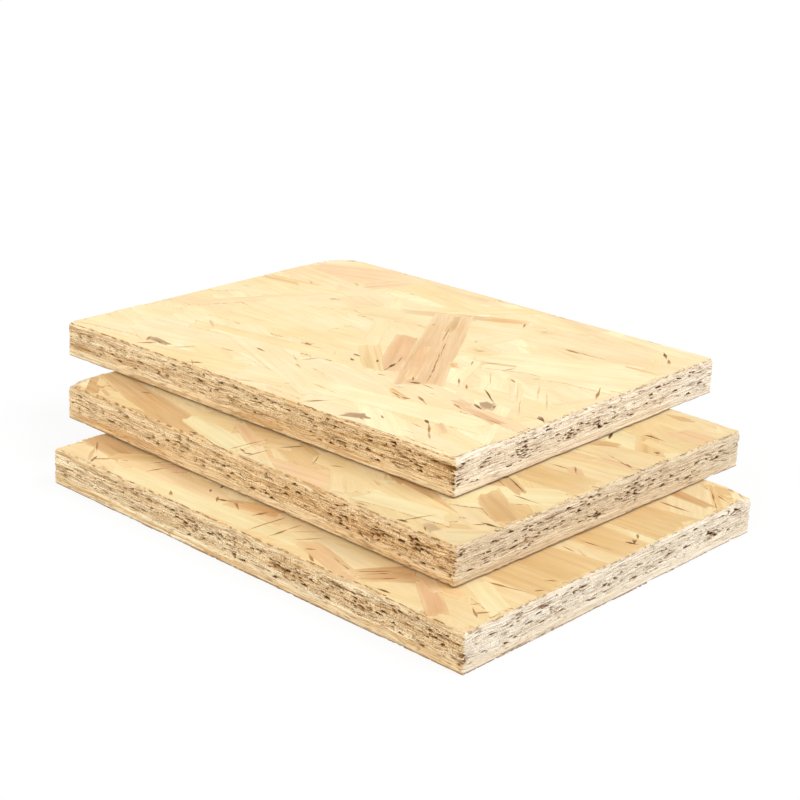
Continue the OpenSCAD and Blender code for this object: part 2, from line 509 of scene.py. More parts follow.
def sawn_body(board, seed):
    """A panel's body: fine sawn edges that follow the solid's voids, under a flat bed for
    the strands of each face."""
    bm = bmesh.new()
    keys = ("run", "hollow", "height", "end_cut", "worn", "unrolled")
    layers = {key: bm.verts.layers.float.new(key) for key in keys}
    ring = outline_ring(bm, board)
    points = np.array([v.co.xy for v in ring])
    normals = outward_normals(points)
    steps = np.linalg.norm(np.roll(points, -1, 0) - points, axis=1)
    runs = np.concatenate([[0], np.cumsum(steps)])
    perimeter, runs = runs[-1], runs[:-1]
    for vert, run, normal in zip(ring, runs, normals):
        vert[layers["run"]] = run
        vert[layers["end_cut"]] = abs(normal[0]) ** 2

    bed = board.thickness - STRAND_BED
    rows = round((bed - STRAND_BED) / HEIGHT_STEP)
    bmesh.ops.translate(bm, vec=(0, 0, STRAND_BED), verts=bm.verts)
    edges = bm.edges[:]
    low_edges = edges
    for _ in range(rows):
        made = bmesh.ops.extrude_edge_only(bm, edges=edges)["geom"]
        edges = picked(made, BMEdge)
        bmesh.ops.translate(bm, vec=(0, 0, (bed - STRAND_BED) / rows), verts=picked(made, BMVert))
    for vert in bm.verts:
        out = Vector((*normals[np.searchsorted(runs, vert[layers["run"]] - 1e-6)], 0))
        vert[layers["unrolled"]] = vert.co.z
        wear_edge(board, vert, out, layers, seed)
    for border, rings, upwards in ((low_edges, BED_RINGS[:1], -1), (edges, BED_RINGS, 1)):
        for inset in rings:
            made = bmesh.ops.extrude_edge_only(bm, edges=border)["geom"]
            border = picked(made, BMEdge)
            for vert in picked(made, BMVert):
                for axis, half in ((0, board.length / 2), (1, board.width / 2)):
                    vert.co[axis] = max(inset - half, min(vert.co[axis], half - inset))
                if upwards > 0:
                    vert.co.z = board.bed_height(vert.co)
                vert[layers["unrolled"]] = upwards * 0.2 * inset + (board.thickness if upwards > 0 else 0)
                vert[layers["hollow"]] = 0
                vert[layers["worn"]] = inset > BED_RINGS[0]
        bmesh.ops.edgeloop_fill(bm, edges=border)
    bmesh.ops.recalc_face_normals(bm, faces=bm.faces)
    mesh = bpy.data.meshes.new("sawn_body")
    bm.to_mesh(mesh)
    bm.free()
    lay_out_body(mesh, board, perimeter)
    return mesh


def wear_edge(board, vert, out, layers, seed):
    """Sets one point of a sawn edge back: the voids of the solid, broken up, the cut strands, the
    crumbled arris and the slope of a knocked corner. The edges are sounder towards the far end
    of the panel, and the near corner is the most handled."""
    run, height, end_cut = vert[layers["run"]], vert.co.z, vert[layers["end_cut"]]
    bed = board.thickness - STRAND_BED
    sunk_bed = board.bed_height(vert.co - out * MM)
    vert.co.z = STRAND_BED + (height - STRAND_BED) * (sunk_bed - STRAND_BED) / (bed - STRAND_BED)
    hit, facing, _, _ = board.surface.ray_cast(vert.co + out * MM, -out, VOID_REACH)
    depth = max((vert.co - hit).dot(out), 0) if hit and abs(facing.z) < 0.1 else 0
    back, hole = cut_strands(run, height, seed)
    level = height / board.thickness
    core = held((level - CORE[0]) / CORE_FADE) * held((CORE[1] - level) / CORE_FADE)
    ragged = 0.45 + 1.3 * swell(run, height, 240, 1500, seed + 17)
    near_corner = next(board.corners())[0]
    handled = max(0, 1 - (vert.co.xy - near_corner.xy).length / CORNER_WEAR)
    sound = 0.14 - 0.48 * vert.co.x / board.length
    hole *= (0.3 + 0.7 * core) * (1 - 0.2 * end_cut)
    hole += depth * held(ragged, 0.05)
    hole *= 1 - sound + 0.5 * handled * (1 - end_cut)
    arris = max(0, 1 - (board.thickness - height) / ARRIS_RISE) ** 1.5
    crumbled = 0.55 + swell(run, level, 230, 9, seed + 21)
    crumbled *= ARRIS_REACH * arris * (1 + handled)
    rim = min(height - STRAND_BED, bed - height) < MM / 10
    # How deep the point lies in a void, which the edge material turns into painted shade
    vert[layers["hollow"]] = 0 if rim else hole / MM
    vert[layers["height"]] = level
    vert.co -= out * (back + hole + max(crumbled, 0))


def read(items, key, kind=np.float32, width=1):
    """One value for each item of a mesh, or a row of them."""
    values = np.zeros(len(items) * width, kind)
    items.foreach_get(key, values)
    return values.reshape(-1, width) if width > 1 else values


def lay_out_body(mesh, board, perimeter):
    """A map for baking: the sawn edges cut into rows, with the two beds in the last row."""
    corners = read(mesh.loops, "vertex_index", int)
    starts = read(mesh.polygons, "loop_start", int)
    counts = read(mesh.polygons, "loop_total", int)
    run = read(mesh.attributes["run"].data, "value")
    climb = read(mesh.attributes["unrolled"].data, "value")
    climb = (climb - climb.min()) / (climb.max() - climb.min())
    place = read(mesh.vertices, "co", width=3)
    face = np.repeat(np.arange(len(starts)), counts)
    u = run[corners].astype(float)
    lowest = np.minimum.reduceat(u, starts)[face]
    highest = np.maximum.reduceat(u, starts)[face]
    u[(highest - lowest > perimeter / 2) & (u < perimeter / 2)] += perimeter
    middle = (np.add.reduceat(u, starts) / counts)[face]
    stretch = perimeter / BAKE_ROWS
    row = np.clip(np.floor(middle / stretch), 0, BAKE_ROWS - 1)
    u = 0.01 + 0.98 * (u - row * stretch) / stretch
    v = (row + 0.03 + 0.94 * climb[corners]) / (BAKE_ROWS + 1)
    bed = counts[face] > 4
    upper = place[corners, 2] > board.thickness / 2
    u[bed] = 0.26 + 0.4 * upper[bed] + 0.3 * place[corners, 0][bed] / board.length
    v[bed] = (BAKE_ROWS + 0.5 + 0.8 * place[corners, 1][bed] / board.width) / (BAKE_ROWS + 1)
    layer = mesh.uv_layers.new(name="OFBake")
    layer.data.foreach_set("uv", np.stack([u, v], 1).astype(np.float32).ravel())


# The strands of a face

def bed_strands(board, rng):
    """Rows of wide strands that close the whole bed before the others are laid."""
    rows = math.ceil(board.width / BED_STRAND_WIDTH)
    for row in range(rows):
        for side in (-1, 1):
            yield Strand(x=side * 0.26 * board.length, y=((row + 0.5) / rows - 0.5) * board.width,
                         angle=rng.uniform(-3, 3), length=0.6 * board.length,
                         width=board.width / rows + OVERLAP,
                         wood=rng.choice(["cream", "straw", "blush"]))


def scattered_strands(board, mix, rng):
    """Strands dropped at random over a face, most of them near the panel's length."""
    woods, weights = list(mix), list(mix.values())
    for _ in range(STRANDS_LAID):
        stray = rng.random() < STRAY_SHARE
        yield Strand(
            x=rng.uniform(-0.55, 0.55) * board.length,
            y=rng.uniform(-0.55, 0.55) * board.width,
            angle=rng.uniform(-STRAY_SWING, STRAY_SWING) if stray else rng.gauss(0, STRAND_SWING),
            length=rng.uniform(*STRAND_LENGTH),
            width=rng.triangular(*STRAND_WIDTH),
            wood=rng.choices(woods, weights)[0],
        )


def scattered_flecks(board, count, rng):
    """Dark slivers of bark and broken strands, pressed in among the others; in part they are
    painted shade of narrow gaps between strands.
    """
    for _ in range(count):
        yield Strand(
            x=rng.uniform(-0.49, 0.49) * board.length,
            y=rng.uniform(-0.49, 0.49) * board.width,
            angle=rng.gauss(0, FLECK_SWING),
            length=rng.uniform(*FLECK_LENGTH),
            width=rng.uniform(*FLECK_WIDTH),
            wood=rng.choice(FLECKS),
        )


class Tray:
    """A coarse plan of one face, which tells which strands show and how high they lie."""

    def __init__(self, board):
        half = board.length / 2, board.width / 2
        self.x, self.y = np.meshgrid(np.arange(-half[0], half[0], MM) + MM / 2,
                                     np.arange(-half[1], half[1], MM) + MM / 2)

    def along(self, strand):
        """Where the cells of the plan lie along and across a strand."""
        turn = math.radians(strand.angle)
        dx, dy = self.x - strand.x, self.y - strand.y
        return (dx * math.cos(turn) + dy * math.sin(turn),
                dy * math.cos(turn) - dx * math.sin(turn))

    def under(self, strand):
        """The cells of the plan that a strand covers."""
        u, v = self.along(strand)
        return (abs(u) < strand.length / 2) & (abs(v) < strand.width / 2)

    def seen(self, strands):
        """For each strand, the cells of the plan where nothing lies over it."""
        owner = np.full(self.x.shape, -1)
        for i, strand in enumerate(strands):
            owner[self.under(strand)] = i
        return [owner == i for i in range(len(strands))]

    def trimmed(self, strand, cells):
        """The strand without the stretches at its ends that other strands cover."""
        u = self.along(strand)[0][cells]
        low = max(u.min() - OVERLAP, -strand.length / 2)
        high = min(u.max() + OVERLAP, strand.length / 2)
        turn, shift = math.radians(strand.angle), (low + high) / 2
        return strand._replace(x=strand.x + shift * math.cos(turn),
                               y=strand.y + shift * math.sin(turn), length=high - low)


def laid_strands(board, panel, marks, rng):
    """The strands of one face that show, in the order they lie, each with its level."""
    tray = Tray(board)
    strands = list(scattered_strands(board, panel.mix, rng))
    strands = [s for s, cells in zip(strands, tray.seen(strands)) if cells.sum() > LEAST_SEEN]
    strands += scattered_flecks(board, panel.flecks, rng)
    strands += [Strand(x * MM, y * MM, angle, length * MM, width * MM, name)
                for x, y, angle, length, width, name in marks]
    strands = [tray.trimmed(s, cells) for s, cells in zip(strands, tray.seen(strands)) if cells.any()]
    strands = list(bed_strands(board, rng)) + strands
    level = np.zeros(tray.x.shape)
    laid = []
    for strand in strands:
        cells = tray.under(strand)
        top = (level[cells].max() if cells.any() else 0) + 1
        level[cells] = top
        laid.append((strand, top))
    highest = max(top for _, top in laid)
    return [(strand, top / highest) for strand, top in laid]


def grid_lines(size, rim, feather, count):
    """Where the lines of a strand's grid lie across its size: a rim, a feathered border, and
    even steps between."""
    inner = size / 2 - rim - feather
    even = [(2 * i / count - 1) * inner for i in range(count + 1)]
    return [-size / 2, rim - size / 2, *even, size / 2 - rim, size / 2]


def strand_grid(bm, strand, layers, rng, number):
    """A strand's upper skin, flat on Z = 0: ragged ends, wavy sides and a fine rim that falls
    away. A sliver closes to a point at both ends."""
    sliver = strand.width < SLIVER
    rim, feather = min(RIM, strand.width * 0.15), min(FEATHER, strand.width * 0.2)
    step = SLIVER if sliver else GRID_STEP[0]
    columns = grid_lines(strand.length, rim, feather, max(4, round(strand.length / step)))
    ranks = grid_lines(strand.width, rim, feather, max(1, round(strand.width / GRID_STEP[1])))
    last_column, last_rank = len(columns) - 1, len(ranks) - 1
    made = bmesh.ops.create_grid(bm, x_segments=last_column, y_segments=last_rank, size=0.5)
    teeth = [[rng.gauss(0, 1) for _ in ranks] for _ in range(2)]
    slant = [rng.uniform(-1, 1) * min(0.6, 8 * MM / strand.width) for _ in range(2)]
    taper = rng.uniform(-1, 1) * min(0.25, 3 * MM / strand.width)
    bow = rng.uniform(-1, 1) * strand.length * (0.025 if sliver else 0.012)
    blunt = [rng.uniform(1, 5) for _ in range(2)]
    give = 0.8 * (columns[3] - columns[2])
    for vert in made["verts"]:
        column = round((vert.co.x + 0.5) * last_column)
        rank = round((vert.co.y + 0.5) * last_rank)
        u, v = columns[column], ranks[rank]
        to_end, to_side = min(column, last_column - column), min(rank, last_rank - rank)
        share = 2 * u / strand.length
        v *= 1 + taper * share
        if sliver:
            v *= max(0.05, 1 - abs(share) ** blunt[int(u > 0)])
            v *= max(0.1, 0.8 + 1.2 * noise.noise(Vector((u * 190, number, 0))))
            v += 0.4 * MM * noise.noise(Vector((u * 120, number, 9)))
        else:
            v += noise.noise(Vector((u * 70, number * 3.1, rank * 0.15))) * 0.6 * MM
            wave = min(FEATHER, strand.width * 0.12)
            v += noise.noise(Vector((u * 24, number * 1.3, share * 0.2))) * wave
            if to_end < 3:
                far = int(u > 0)
                shift = teeth[far][rank] * min(TOOTH, strand.width * 0.13) + slant[far] * v
                u += max(shift, -give) if far else min(shift, give)
        v += bow * (1 - share ** 2)
        vert.co = (u, v, 0 if to_end and to_side else -RIM_DROP)
        vert[layers["rim"]] = 1.0 if not to_end else 0.7 if not to_side else 0.0
        vert[layers["border"]] = 1.0 if min(to_end, to_side) < 2 and not sliver else 0.0
        vert[layers["along"]], vert[layers["across"]] = u, v


def paint_strand(bm, strand, tint, layers, rng, number):
    """The strand's wood, a little uneven, and paler towards one end and in places along its
    border."""
    colour = Vector(WOODS[strand.wood][:3]) * rng.gauss(1, 0.012)
    plain = Vector(WOODS["cream"][:3])
    fade, far = rng.uniform(0.1, 0.7), rng.choice([-1, 1])
    for vert in bm.verts:
        u, v = vert[layers["along"]], vert[layers["across"]]
        patch = 1 + 0.05 * noise.noise(Vector((u * 45, v * 110, number * 1.7)))
        reach = 2 * u / strand.length
        if strand.width < SLIVER:
            share = 0.6 * abs(reach) ** 3 + max(0, 1.3 * noise.noise(Vector((u * 160, number, 4))))
        else:
            share = max(0, reach * far) ** 2 * fade
        share += vert[layers["border"]] * rng.uniform(0, 0.6)
        mix = (colour * patch).lerp(plain, min(share, 1))
        vert[layers["strand_colour"]] = (mix.x * tint[0], mix.y * tint[1], mix.z * tint[2], 1)
        vert[layers["figure"]] = FIGURED.get(strand.wood, PLAIN_FIGURE) * (1 - min(share, 1))


def room(border, spot, out):
    """How far a point on a cut can move into its face before it meets the face's far side."""
    along = Vector((-out.y, out.x, 0))
    place = spot.dot(along)
    found = [0.0]
    for start, end in zip(border, border[1:] + border[:1]):
        first, last = start.dot(along) - place, end.dot(along) - place
        if first * last < 0:
            share = first / (first - last)
            found.append(-start.lerp(end, share).dot(out))
    return max(found)


def saw_off(bm, cuts, layers, rng):
    """Cuts a strand back to the panel's outline, each time a little short, with a frayed end."""
    for place, out in cuts:
        short = LEAST_SHORT + abs(rng.gauss(0, 0.5 + 0.3 * abs(out.x)))
        if rng.random() < BROKEN_SHARE:
            short += rng.uniform(0.5, 1.8)
        place = place - out * short * MM
        if not bm.verts or max((v.co - place).dot(out) for v in bm.verts) <= 0:
            continue
        for inset, clear in ((rng.uniform(1.2, 2.4) * MM, False), (0, True)):
            cut = bmesh.ops.bisect_plane(bm, geom=bm.verts[:] + bm.edges[:] + bm.faces[:], dist=1e-7,
                                         plane_co=place - out * inset, plane_no=out, clear_outer=clear)
        for edge in picked(cut["geom_cut"], BMEdge):
            points = int(edge.calc_length() / FRINGE_STEP)
            if points and edge.link_faces:
                border = [v.co - place for v in edge.link_faces[0].verts]
                split = bmesh.ops.subdivide_edges(bm, edges=[edge], cuts=min(points, MOST_POINTS))
                for vert in picked(split["geom_inner"], BMVert):
                    fray(vert, place, out, border, layers, rng)


def fray(vert, place, out, border, layers, rng):
    """Breaks one point of a sawn-off end back into its strand, and stains it."""
    notch = rng.uniform(0.5, 2.4) if rng.random() < 0.16 + 0.1 * abs(out.x) else 0
    broken = 0.15 + max(0, 1.7 * noise.noise(vert.co * 50))
    depth = (abs(rng.gauss(0, 0.28)) + notch) * broken * MM
    vert.co += Vector((-out.y, out.x, 0)) * rng.uniform(-0.25, 0.25) * MM
    vert.co -= out * min(depth, 0.7 * room(border, vert.co - place, out))
    stain = max(0.3 * notch, rng.gauss(0, 0.5)) * broken
    colour = Vector(vert[layers["strand_colour"]])
    vert[layers["strand_colour"]] = colour.lerp(Vector(WOODS["bark"]), min(stain, 0.85))


def add_walls(bm, layers):
    """Walls from the strand's border down into the bed, laid out beside it in the map."""
    def spot(vert):
        return Vector((vert[layers["along"]], vert[layers["across"]]))

    uv = layers["map"]
    for face in bm.faces:
        for loop in face.loops:
            loop[uv].uv = spot(loop.vert)
    borders = [e for e in bm.edges if e.is_boundary]
    outwards = {}
    for edge in borders:
        start, end = (spot(v) for v in edge.verts)
        verts = edge.link_faces[0].verts
        middle = sum((spot(v) for v in verts), Vector((0, 0))) / len(verts)
        out = (end - start).orthogonal().normalized()
        if (middle - start).dot(out) > 0:
            out.negate()
        outwards[frozenset(edge.verts)] = out
    top = set(bm.verts)
    made = bmesh.ops.extrude_edge_only(bm, edges=borders)["geom"]
    walls, lower = picked(made, BMFace), picked(made, BMVert)
    for face in walls:
        out = outwards[frozenset(v for v in face.verts if v in top)]
        for loop in face.loops:
            loop[uv].uv = spot(loop.vert) if loop.vert in top else spot(loop.vert) + out * RIM
    for vert in lower:
        vert[layers["strand_colour"]] = WOODS["sawn"]
    bmesh.ops.translate(bm, vec=(0, 0, -WALL), verts=lower)
    for face in walls:
        face.normal_update()
        face[layers["cut"]] = 1
        face[layers["end_cut"]] = face.normal.x ** 2


def strand_layers(bm):
    """The values that a strand carries at its points, on its faces and in its map."""
    keys = ("rim", "border", "along", "across", "figure")
    layers = {key: bm.verts.layers.float.new(key) for key in keys}
    layers["strand_colour"] = bm.verts.layers.float_color.new("strand_colour")
    layers["strand"] = bm.faces.layers.int.new("strand")
    for key in ("cut", "end_cut"):
        layers[key] = bm.faces.layers.float.new(key)
    layers["map"] = bm.loops.layers.uv.new("OFBake")
    return layers


def face_strands(board, panel, upper):
    """The strands of one face as a list of meshes, from the lowest to the highest."""
    rng = random.Random(panel.seed * 10 + upper)
    laid = laid_strands(board, panel, panel.marks if upper else [], rng)
    standing = board.place.translation.z < MM
    lip = 0 if upper else FLOOR_LIP if standing else LOWER_LIP
    cuts = [(place - out * lip, out) for place, out in board.face_cuts(upper)]
    flip = Matrix.Translation((0, 0, board.thickness)) @ Matrix.Rotation(math.pi, 4, "X")
    meshes = []
    for number, (strand, level) in enumerate(laid):
        bm = bmesh.new()
        layers = strand_layers(bm)
        strand_grid(bm, strand, layers, rng, number)
        paint_strand(bm, strand, panel.tint, layers, rng, number)
        depth = (1 - level) * (STRAND_BED - 0.12 * MM)
        place = (Matrix.Translation((strand.x, strand.y, board.thickness - depth))
                 @ Matrix.Rotation(math.radians(strand.angle), 4, "Z"))
        bmesh.ops.transform(bm, matrix=place, verts=bm.verts)
        saw_off(bm, cuts, layers, rng)
        if bm.faces:
            add_walls(bm, layers)
            for face in bm.faces:
                face[layers["strand"]] = number
            if not upper:
                bmesh.ops.transform(bm, matrix=flip, verts=bm.verts)
            mesh = bpy.data.meshes.new("strand")
            bm.to_mesh(mesh)
            meshes.append(mesh)
        bm.free()
    return meshes


def joined(meshes, name):
    """Strands joined into one mesh, with their maps set in rows on one square."""
    bm = bmesh.new()
    strand_layers(bm)
    for mesh in meshes:
        bm.from_mesh(mesh)
        bpy.data.meshes.remove(mesh)
    mesh = bpy.data.meshes.new(name)
    bm.to_mesh(mesh)
    bm.free()
    pack_map(mesh)
    return mesh


def pack_map(mesh):
    """Sets the strands' maps side by side on shelves that fill the unit square."""
    layer = mesh.uv_layers["OFBake"]
    flat = read(layer.data, "uv", width=2)
    number = read(mesh.attributes["strand"].data, "value", np.int32)
    counts = read(mesh.polygons, "loop_total", np.int32)
    owner = np.unique(np.repeat(number, counts), return_inverse=True)[1]
    low = np.full((owner.max() + 1, 2), np.inf)
    high = -low
    np.minimum.at(low, owner, flat)
    np.maximum.at(high, owner, flat)
    size = high - low + MAP_GAP
    side = math.sqrt(size.prod(1).sum())
    while True:
        corner, x, y, shelf = np.zeros_like(low), 0, 0, 0
        for i in np.argsort(-size[:, 1]):
            if x + size[i, 0] > side:
                x, y, shelf = 0, y + shelf, 0
            corner[i] = x, y
            x, shelf = x + size[i, 0], max(shelf, size[i, 1])
        if y + shelf <= side:
            break
        side *= 1.01
    packed = (flat - low[owner] + corner[owner] + MAP_GAP / 2) / side
    layer.data.foreach_set("uv", packed.astype(np.float32).ravel())


# Materials

class Wiring:
    """A node tree with short ways to add to it. An input takes a value or another node's socket."""

    def __init__(self, tree):
        self.tree = tree

    def join(self, value, socket):
        if isinstance(value, bpy.types.NodeSocket):
            self.tree.links.new(value, socket)
        else:
            socket.default_value = value

    def node(self, kind, inputs=None, **settings):
        node = self.tree.nodes.new("ShaderNode" + kind)
        for key, value in settings.items():
            setattr(node, key, value)
        for key, value in (inputs or {}).items():
            self.join(value, node.inputs[key])
        return node

    def maths(self, operation, a, b=0.0, clamp=False):
        return self.node("Math", {0: a, 1: b}, operation=operation, use_clamp=clamp).outputs[0]

    def times(self, a, b):
        return self.maths("MULTIPLY", a, b)

    def ramp(self, value, low, high, to_low=0.0, to_high=1.0):
        """The value's range from low to high, eased to another range."""
        inputs = {"Value": value, "From Min": low, "From Max": high, "To Min": to_low, "To Max": to_high}
        return self.node("MapRange", inputs, interpolation_type="SMOOTHSTEP").outputs["Result"]

    def mixed(self, share, a, b, blend="MIX"):
        node = self.node("Mix", data_type="RGBA", blend_type=blend)
        for key, value in (("Factor_Float", share), ("A_Color", a), ("B_Color", b)):
            self.join(value, next(s for s in node.inputs if s.identifier == key))
        return next(s for s in node.outputs if s.identifier == "Result_Color")

    def tinted(self, a, b):
        return self.mixed(1.0, a, b, "MULTIPLY")

    def stretched(self, place, along, across, deep):
        factors = (along, across, deep)
        return self.node("VectorMath", {0: place, 1: factors}, operation="MULTIPLY").outputs[0]

    def noise(self, place, detail, scale=1.0, roughness=0.5, **settings):
        inputs = {"Vector": place, "Scale": scale, "Detail": detail, "Roughness": roughness}
        return self.node("TexNoise", inputs, **settings).outputs["Fac"]

    def attribute(self, name, output="Fac"):
        return self.node("Attribute", attribute_name=name).outputs[output]

    def bump(self, shader, height, strength, distance):
        node = self.node("Bump", {"Height": height, "Strength": strength, "Distance": distance})
        self.join(node.outputs[0], shader.inputs["Normal"])

    def seen(self):
        """One where the camera looks, straight or through what is glossy or clear, and else zero."""
        path = self.node("LightPath").outputs
        seen = self.maths("MAXIMUM", path["Is Camera Ray"], path["Is Glossy Ray"])
        return self.maths("MAXIMUM", seen, path["Is Transmission Ray"])


def fibre_group():
    """Wood fibre: long streaks along the grain and short dark pores, from a place whose X runs
    along the grain."""
    tree = bpy.data.node_groups.new("wood_fibre", "ShaderNodeTree")
    tree.interface.new_socket("Place", in_out="INPUT", socket_type="NodeSocketVector")
    for label, default in (("Streak length", 45.0), ("Streak width", 900.0)):
        socket = tree.interface.new_socket(label, in_out="INPUT", socket_type="NodeSocketFloat")
        socket.default_value = default
    for label in ("Streaks", "Pores"):
        tree.interface.new_socket(label, in_out="OUTPUT", socket_type="NodeSocketFloat")
    given, result = tree.nodes.new("NodeGroupInput"), tree.nodes.new("NodeGroupOutput")
    wires = Wiring(tree)
    apart = wires.node("SeparateXYZ", {0: given.outputs["Place"]})

    def stretched(long_share, wide_share):
        along = wires.times(given.outputs["Streak length"], long_share)
        across = wires.times(given.outputs["Streak width"], wide_share)
        factors = {"X": along, "Y": across, "Z": across}
        inputs = {key: wires.times(apart.outputs[key], factor) for key, factor in factors.items()}
        return wires.node("CombineXYZ", inputs).outputs[0]

    broad = wires.noise(stretched(0.5, 0.3), 3.0)
    fine = wires.noise(stretched(1.6, 1.6), 4.0, roughness=0.65)
    streaks = wires.maths("ADD", wires.times(broad, 0.5), wires.times(fine, 0.5))
    pores = wires.noise(stretched(3.2, 1.1), 2.0)
    wires.join(wires.ramp(streaks, 0.3, 0.7), result.inputs["Streaks"])
    wires.join(wires.ramp(pores, 0.62, 0.74), result.inputs["Pores"])
    return tree


def new_material(name):
    """A dull material, with its wiring and its shader."""
    material = bpy.data.materials.new(name)
    material.use_nodes = True
    shader = material.node_tree.nodes["Principled BSDF"]
    shader.inputs["Roughness"].default_value = 0.8
    shader.inputs["Specular IOR Level"].default_value = 0.2
    return material, Wiring(material.node_tree), shader


def strand_material(fibre):
    """The pressed faces: each strand in its own wood, with grain along it and dark, broken
    lines where its rim stands up, partly painted shade of the gap there and partly resin and dust."""
    material, wires, shader = new_material("pressed_strands")
    place = wires.node("CombineXYZ", {
        "X": wires.attribute("along"), "Y": wires.attribute("across"),
        "Z": wires.times(wires.attribute("strand"), 0.37)}).outputs[0]
    grain = wires.node("Group", {"Place": place}, node_tree=fibre)
    spot = wires.node("TexCoord").outputs["Object"]
    streak = wires.mixed(grain.outputs["Streaks"], (0.93, 0.89, 0.82, 1), (1.02, 1.03, 1.05, 1))
    colour = wires.tinted(wires.attribute("strand_colour", "Color"), streak)

    # The wood's figure, clouds and pores
    figure = wires.attribute("figure")
    bands = wires.ramp(wires.noise(wires.stretched(place, 15, 320, 1), 3.0), 0.42, 0.72)
    bands = wires.times(bands, figure)
    colour = wires.mixed(bands, colour, wires.tinted(colour, (0.84, 0.76, 0.68, 1)))
    splits = wires.ramp(wires.noise(wires.stretched(place, 34, 1000, 1), 3.0), 0.62, 0.72)
    splits = wires.times(wires.times(splits, figure), 0.55)
    colour = wires.mixed(splits, colour, WOODS["brown"])
    cloud = wires.ramp(wires.noise(spot, 4.0, 42.0), 0.35, 0.7)
    colour = wires.tinted(colour, wires.mixed(cloud, (1.01, 1.02, 1.03, 1), (0.99, 0.95, 0.90, 1)))
    colour = wires.mixed(wires.times(grain.outputs["Pores"], 0.1), colour, WOODS["brown"])

    # Its rim, darkened in broken lines that are partly painted shade of the gap where it stands up and
    # partly resin and dust, and the ends that are sawn off
    ragged = wires.noise(spot, 3.0, 320.0)
    broken = wires.ramp(wires.noise(spot, 2.0, 60.0), 0.52, 0.68)
    open_rim = wires.times(broken, wires.ramp(ragged, 0.35, 0.6))
    rim = wires.ramp(wires.attribute("rim"), 0.2, 1.0)
    colour = wires.mixed(wires.times(rim, open_rim), colour, WOODS["brown"])
    end_cut, cut = wires.attribute("end_cut"), wires.attribute("cut")
    dark = wires.mixed(end_cut, wood(168, 122, 72), wood(176, 150, 120))
    light = wires.mixed(end_cut, wood(240, 208, 156), wood(246, 230, 204))
    sawn = wires.mixed(wires.ramp(ragged, 0.38, 0.62), dark, light)
    colour = wires.mixed(cut, colour, sawn)
    height = wires.node("SeparateXYZ", {0: spot}).outputs["Z"]
    # Painted contact shadow: the strands' cut walls darken within 0.8 mm of the floor
    floor_contact_shadow = wires.times(cut, wires.ramp(height, 0.0008, 0.0004, 0.0, 0.7))
    colour = wires.mixed(floor_contact_shadow, colour, CONTACT_SHADOW)
    wires.join(colour, shader.inputs["Base Color"])
    wires.bump(shader, grain.outputs["Streaks"], 0.2, 0.00015)
    return material


